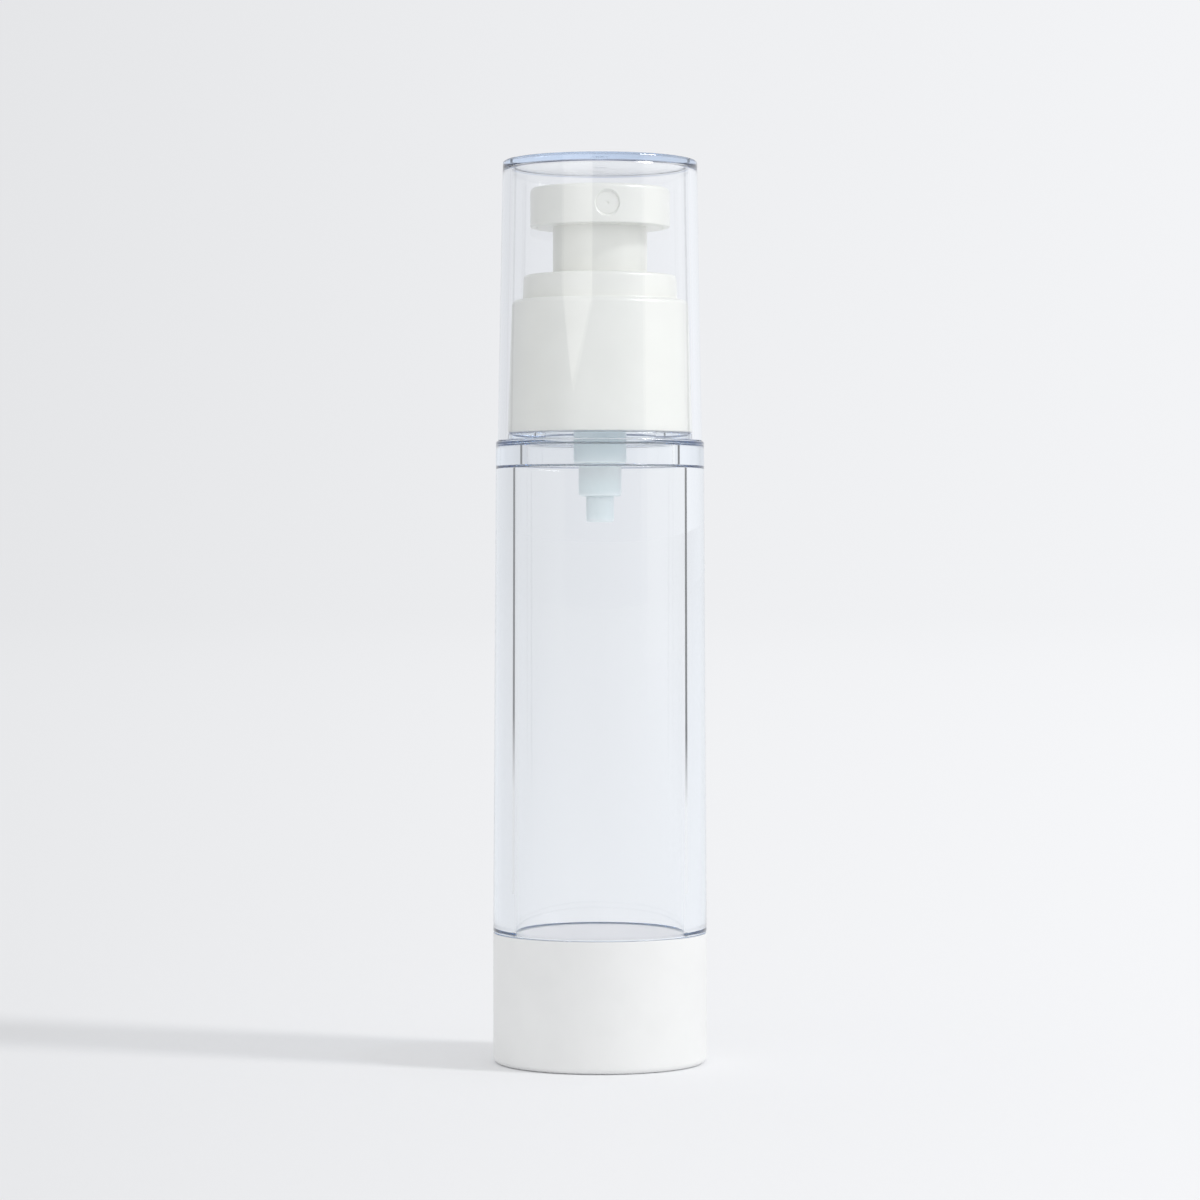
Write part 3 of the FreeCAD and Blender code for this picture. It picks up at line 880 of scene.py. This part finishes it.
# %% [markdown]
# ## Directions in the room
# Clear plastic looks like what is behind it and beside it, so the room matters more than the lamps. A
# picture of a studio could be wrapped around the scene, but a few brightness values around the compass are
# easier to adjust. These nodes turn a direction into a bearing, counted from straight ahead of the camera,
# and a ramp gives each bearing its brightness.

# %% Nodes that measure a direction
AHEAD = 0.5
DUSK_LEVEL = 0.7


def node_sum(tree, operation, first, second=0.0):
    """One sum in a node tree."""
    node = tree.nodes.new("ShaderNodeMath")
    node.operation = operation
    for socket, value in zip(node.inputs, (first, second)):
        if isinstance(value, (int, float)):
            socket.default_value = value
        else:
            tree.links.new(value, socket)
    return node.outputs[0]


def bearing(tree, vector):
    """Where a direction lies around the room: 0.5 is ahead of the camera, more is to the right."""
    turned = tree.nodes.new("ShaderNodeVectorRotate")
    turned.rotation_type = "Z_AXIS"
    turned.inputs["Angle"].default_value = CAMERA_TURN
    tree.links.new(vector, turned.inputs["Vector"])
    split = tree.nodes.new("ShaderNodeSeparateXYZ")
    tree.links.new(turned.outputs["Vector"], split.inputs["Vector"])
    angle = node_sum(tree, "ARCTAN2", split.outputs["X"], split.outputs["Y"])
    return node_sum(tree, "ADD", node_sum(tree, "DIVIDE", angle, math.tau), AHEAD)


def around(levels):
    """Pairs of bearing in degrees and brightness, with the bearings as places on a ramp."""
    return [(degrees / 360 + AHEAD, level) for degrees, level in levels]


def grey_ramp(tree, stops, factor, tint, dusk=None):
    """A ramp of greys with a tint, from pairs of place and brightness. Dark greys may lean to a dusk."""
    ramp = tree.nodes.new("ShaderNodeValToRGB")
    stretch = ramp.color_ramp.elements
    while len(stretch) < len(stops):
        stretch.new(0.5)
    for element, (place, level) in zip(stretch, sorted(stops)):
        element.position = place
        share = max(0, 1 - level / DUSK_LEVEL) if dusk else 0
        mixed = [here * (1 - share) + (dusk or tint)[index] * share for index, here in enumerate(tint)]
        element.color = (*(level * part for part in mixed), 1)
    tree.links.new(factor, ramp.inputs["Fac"])
    return ramp.outputs["Color"]


print("camera turned by", round(math.degrees(CAMERA_TURN)), "degrees")

# %% [markdown]
# ## Walls and ceiling
# The bottle stands in a bright plain studio, a little darker on the left. One ramp around the room sets how
# bright each wall is, and its dark stretches are bluer, as shade in a white room is. The ceiling is darker
# still, so that edges that bend the view upwards get a dark line.

# %% Walls and ceiling
COOL = (0.992, 1.0, 1.021)
DUSK = (0.70, 0.88, 1.35)
BLUE = (0.80, 0.90, 1.25)
ROOM = [
    (-180, 0.54),
    (-140, 0.56),
    (-105, 0.68),
    (-62, 0.69),
    (-48, 0.73),
    (-28, 0.775),
    (-9, 0.79),
    (0, 0.855),
    (9, 0.905),
    (45, 0.95),
    (70, 0.83),
    (110, 0.56),
    (180, 0.54),
]
CEILING = [
    (-180, 0.40),
    (-110, 0.16),
    (-50, 0.16),
    (0, 0.45),
    (50, 0.16),
    (110, 0.16),
    (180, 0.40),
]
WALL_TO_CEILING = [(0.42, 0), (0.68, 1)]


def ramp_light(tree, colour):
    """Light from far away that takes its colour from a ramp."""
    light = tree.nodes.new("ShaderNodeBackground")
    tree.links.new(colour, light.inputs["Color"])
    return light.outputs["Background"]


world = bpy.data.worlds.new("studio")
world.use_nodes = True
world.cycles.sampling_method = "NONE"
bpy.context.scene.world = world
sky = world.node_tree
sky.nodes.clear()
way = sky.nodes.new("ShaderNodeTexCoord").outputs["Generated"]
lift = sky.nodes.new("ShaderNodeSeparateXYZ")
sky.links.new(way, lift.inputs["Vector"])
ceiling_share = grey_ramp(sky, WALL_TO_CEILING, lift.outputs["Z"], WHITE)
walls_light = ramp_light(sky, grey_ramp(sky, around(ROOM), bearing(sky, way), COOL, DUSK))
ceiling_light = ramp_light(sky, grey_ramp(sky, around(CEILING), bearing(sky, way), BLUE))
seen_light = one_or_other(sky, ceiling_share, walls_light, ceiling_light)
print("walls from", min(level for _, level in ROOM), "to", max(level for _, level in ROOM))

# %% [markdown]
# ## Light on the pieces
# A white piece is lit by the whole room at once. For it the room is one soft, even light, so that a colour
# looks about as it is written. A piece behind clear plastic gets its light through that plastic, and more
# of it from the front and from the right than from the left. Light Path tells the rays apart: one that has
# not yet met a matt surface sees the room, and one that comes through clear plastic is a transmission ray.

# %% Soft light and fill light
FIRST_LOOK = 0.5
AMBIENT = 0.80
FILL = [
    (-180, 1.55),
    (-130, 0.66),
    (-90, 0.40),
    (60, 0.55),
    (90, 0.75),
    (130, 1.25),
    (165, 1.65),
    (180, 1.6),
]
FILL_ABOVE = 0.85


def plain_light(tree, level):
    """Even white light from far away."""
    light = tree.nodes.new("ShaderNodeBackground")
    light.inputs["Color"].default_value = (*WHITE, 1)
    light.inputs["Strength"].default_value = level
    return light.outputs["Background"]


path = sky.nodes.new("ShaderNodeLightPath")
fill_around = ramp_light(sky, grey_ramp(sky, around(FILL), bearing(sky, way), WHITE))
fill_light = one_or_other(sky, ceiling_share, fill_around, plain_light(sky, FILL_ABOVE))
behind_clear = path.outputs["Is Transmission Ray"]
piece_light = one_or_other(sky, behind_clear, plain_light(sky, AMBIENT), fill_light)
first_look = node_sum(sky, "LESS_THAN", path.outputs["Diffuse Depth"], FIRST_LOOK)
room_light = one_or_other(sky, first_look, piece_light, seen_light)
sky_output = sky.nodes.new("ShaderNodeOutputWorld")
sky.links.new(room_light, sky_output.inputs["Surface"])
print("soft light", AMBIENT, "and fill light up to", max(level for _, level in FILL))

# %% [markdown]
# ## The floor
# A pale floor that goes on to the horizon. Far away it has the colour of the room behind it, so there is
# no line between them. The room's light is painted into the floor's colour as painted light and shade:
# darker to the left and towards the back of the camera, lighter to the right. Near the bottle it is a little
# lighter, a painted pool of light. Around the camera's own place, where all bearings meet, it is plain. A
# backdrop that curves up could do the same, but it would show from behind.

# %% Floor
FLOOR_HALF = 60
NEAR_FLOOR_PAINTED_LIGHT = 1.03
FRONT_FLOOR_PAINTED_SHADE = 0.62
CAMERA_FLOOR = 0.72
BEHIND_BOTTLE = 20
FLOOR_FADE = (1.2, 6.0)
CAMERA_SPOT = (0.05, 0.46)
LIT = 0.964
MIX_INPUTS = (0, 6, 7)
MIX_OUTPUT = 2


def smooth_share(tree, value, ends, first=0.0, last=1.0):
    """Goes smoothly from a first value to a last one while a measure passes between two ends."""
    share = tree.nodes.new("ShaderNodeMapRange")
    share.interpolation_type = "SMOOTHSTEP"
    share.inputs["From Min"].default_value = ends[0]
    share.inputs["From Max"].default_value = ends[1]
    share.inputs["To Min"].default_value = first
    share.inputs["To Max"].default_value = last
    tree.links.new(value, share.inputs["Value"])
    return share.outputs["Result"]


floor_form = bmesh.new()
bmesh.ops.create_grid(floor_form, x_segments=1, y_segments=1, size=FLOOR_HALF)
floor = shown_as("floor", floor_form)
floor_finish = bpy.data.materials.new("pale floor")
floor_finish.use_nodes = True
paper = floor_finish.node_tree
paper_shader = paper.nodes["Principled BSDF"]
paper_shader.inputs["Roughness"].default_value = 1
paper_shader.inputs["Specular IOR Level"].default_value = 0
spot = paper.nodes.new("ShaderNodeTexCoord").outputs["Object"]
from_camera = paper.nodes.new("ShaderNodeMapping")
from_camera.inputs["Location"].default_value = (-camera.location.x, -camera.location.y, 0)
paper.links.new(spot, from_camera.inputs["Vector"])
offset = from_camera.outputs["Vector"]
span = paper.nodes.new("ShaderNodeVectorMath")
span.operation = "LENGTH"
paper.links.new(offset, span.inputs[0])
# Painted light and shade: the floor's colour follows the room's light by bearing, darker to the left and
# behind the camera.
floor_painted_light_levels = [(turn, level / LIT) for turn, level in ROOM if abs(turn) < BEHIND_BOTTLE]
floor_painted_light_levels += [(-180, FRONT_FLOOR_PAINTED_SHADE / LIT), (180, FRONT_FLOOR_PAINTED_SHADE / LIT)]
painted_room_light_colour = grey_ramp(paper, around(floor_painted_light_levels), bearing(paper, offset), COOL)
floor_mix = paper.nodes.new("ShaderNodeMix")
floor_mix.data_type = "RGBA"
mix_share, mix_first, mix_second = (floor_mix.inputs[place] for place in MIX_INPUTS)
mix_first.default_value = (*(CAMERA_FLOOR / LIT * part for part in COOL), 1)
paper.links.new(smooth_share(paper, span.outputs["Value"], CAMERA_SPOT), mix_share)
paper.links.new(painted_room_light_colour, mix_second)
# Painted pool of light: near the camera and the bottle the floor's colour is raised a little.
painted_pool_of_light = paper.nodes.new("ShaderNodeVectorMath")
painted_pool_of_light.operation = "SCALE"
paper.links.new(floor_mix.outputs[MIX_OUTPUT], painted_pool_of_light.inputs[0])
pool_of_light_share = smooth_share(paper, span.outputs["Value"], FLOOR_FADE, NEAR_FLOOR_PAINTED_LIGHT, 1)
paper.links.new(pool_of_light_share, painted_pool_of_light.inputs["Scale"])
paper.links.new(painted_pool_of_light.outputs["Vector"], paper_shader.inputs["Base Color"])
floor.data.materials.append(floor_finish)
print("floor", 2 * FLOOR_HALF, "m wide")

# %% [markdown]
# ## The key light
# One lamp from the right and a little to the front throws the long shadow to the left. An area lamp would
# have to be aimed and kept at a distance. A sun lamp only needs a direction, and its width sets how soft
# the shadow's edge is.

# %% Key light
KEY_STRENGTH = 0.80
KEY_WIDTH = math.radians(9)
KEY_RISE = math.radians(40)
KEY_WAY = Vector((0.893, -0.451))
key = bpy.data.lights.new("key", "SUN")
key.energy = KEY_STRENGTH
key.angle = KEY_WIDTH
key_lamp = bpy.data.objects.new("key", key)
bpy.context.scene.collection.objects.link(key_lamp)
key_way = Vector((*(KEY_WAY.normalized() * math.cos(KEY_RISE)), math.sin(KEY_RISE)))
key_lamp.rotation_euler = key_way.to_track_quat("Z", "Y").to_euler()
key_lamp.visible_glossy = False
key_lamp.visible_transmission = False
print("key light", round(math.degrees(KEY_RISE)), "degrees up")

# %% [markdown]
# ## Cards
# Photographers draw the edges of clear things with cards just outside the picture. A card here stands
# upright on a part of a circle around the bottle, so it is one edge spun by a few degrees. It shines by
# itself, evenly or fading with height, but only for rays that see it: light that has already met a matt
# surface goes straight through it, so that no card lights the bottle.

# %% Helpers for cards
CARD_STEPS = 24


def even_light(name, level):
    """A surface of even brightness."""
    material = bpy.data.materials.new(name)
    material.use_nodes = True
    tree = material.node_tree
    glow = tree.nodes.new("ShaderNodeEmission")
    glow.inputs["Strength"].default_value = level
    matt_bounces = tree.nodes.new("ShaderNodeLightPath").outputs["Diffuse Depth"]
    seen = node_sum(tree, "LESS_THAN", matt_bounces, FIRST_LOOK)
    through = tree.nodes.new("ShaderNodeBsdfTransparent")
    surface = one_or_other(tree, seen, through.outputs["BSDF"], glow.outputs["Emission"])
    tree.links.new(surface, tree.nodes["Material Output"].inputs["Surface"])
    return material


def fading_light(name, foot, level, start, height):
    """A surface that goes from one brightness at a start above the floor to another at a height."""
    brightest = max(foot, level)
    material = even_light(name, brightest)
    tree = material.node_tree
    place = tree.nodes.new("ShaderNodeTexCoord")
    split = tree.nodes.new("ShaderNodeSeparateXYZ")
    tree.links.new(place.outputs["Object"], split.inputs["Vector"])
    share = node_sum(tree, "DIVIDE", split.outputs["Z"], height)
    stops = [(start / height, foot / brightest), (1, level / brightest)]
    tree.links.new(grey_ramp(tree, stops, share, WHITE), tree.nodes["Emission"].inputs["Color"])
    return material


def card(name, first, last, low, high, far, finish, tip=0.0, tip_bearing=None):
    """An upright card around the bottle between two bearings, with a point of tip metres below."""
    form = bmesh.new()
    start = math.pi / 2 - math.radians(first) - CAMERA_TURN
    side = Vector((math.cos(start), math.sin(start), 0)) * far
    posts = [form.verts.new(side + Vector((0, 0, height))) for height in (low, high)]
    edge = form.edges.new(posts)
    sweep = math.radians(first - last)
    bmesh.ops.spin(form, geom=posts + [edge], cent=(0, 0, 0), axis=(0, 0, 1), angle=sweep, steps=CARD_STEPS)
    for vert in form.verts:
        if tip and vert.co.z < low + NEAR:
            here = math.degrees(math.atan2(vert.co.x, vert.co.y) - CAMERA_TURN)
            end = first if here < tip_bearing else last
            vert.co.z -= tip * (here - end) / (tip_bearing - end)
    made = shown_as(name, form)
    made.data.materials.append(finish)
    made.visible_camera = False
    made.visible_diffuse = False
    made.visible_shadow = False
    made.visible_volume_scatter = False
    print(name, "from", first, "to", last, "degrees")
    return made


# %% [markdown]
# ## Dark flags
# Two dark flags stand behind the bottle, one at each side. The thick wall bends the view towards them just
# beside the bore, where they become the two fine dark lines. Near the floor they fade into the brightness of
# the room, so the lines end above the base. They are hidden from plain reflections.

# %% Dark flags
FLAG_DISTANCE = 0.3
FLAG_TOP = 0.2
FLAG_INNER = 53.5
FLAG_OUTER = 58
left_finish = fading_light("left flag", foot=0.77, level=0.22, start=0.024, height=0.042)
right_finish = fading_light("right flag", foot=0.92, level=0.16, start=0.020, height=0.036)
left_flag = card("left flag", -FLAG_OUTER, -FLAG_INNER, 0, FLAG_TOP, FLAG_DISTANCE, left_finish)
right_flag = card("right flag", FLAG_INNER, FLAG_OUTER, 0, FLAG_TOP, FLAG_DISTANCE, right_finish)
for flag in (left_flag, right_flag):
    flag.visible_glossy = False

# %% [markdown]
# ## White cards
# A tall card at the right and a pointed one at the front left become the pale veils on the cap. The small
# bright one high at the right is the key light as a mirror would show it, and gives the cap its glints.

# %% White cards
CARD_DISTANCE = 2.0
CARD_TOP = 1.4
right_white = fading_light("right card", foot=0.87, level=1.22, start=0, height=0.5)
card("right card", first=62, last=127, low=0, high=CARD_TOP, far=CARD_DISTANCE, finish=right_white)
glint_white = even_light("glint", 25)
card("glint", first=98, last=124, low=1.2, high=2.3, far=CARD_DISTANCE, finish=glint_white)
card(
    "front left card",
    first=-171,
    last=-135,
    low=0.329,
    high=CARD_TOP,
    far=CARD_DISTANCE,
    finish=even_light("front left card", 1.32),
    tip=0.065,
    tip_bearing=-148,
)

# %% [markdown]
# ## Light that gets through
# Light crosses many surfaces in two clear walls, and some of it stays caught in a wall for a long way. With
# the usual few bounces it would be lost, and edges would turn grey. With many bounces it comes out again,
# blue from the long way. Glossy filtering is switched off, because it would blur the clear walls for the
# light that falls on the pieces inside.

# %% Bounces
BOUNCES = 128
cycles = bpy.context.scene.cycles
cycles.max_bounces = BOUNCES
cycles.transmission_bounces = BOUNCES
cycles.glossy_bounces = BOUNCES
cycles.transparent_max_bounces = BOUNCES
cycles.blur_glossy = 0
print("bounces", BOUNCES)
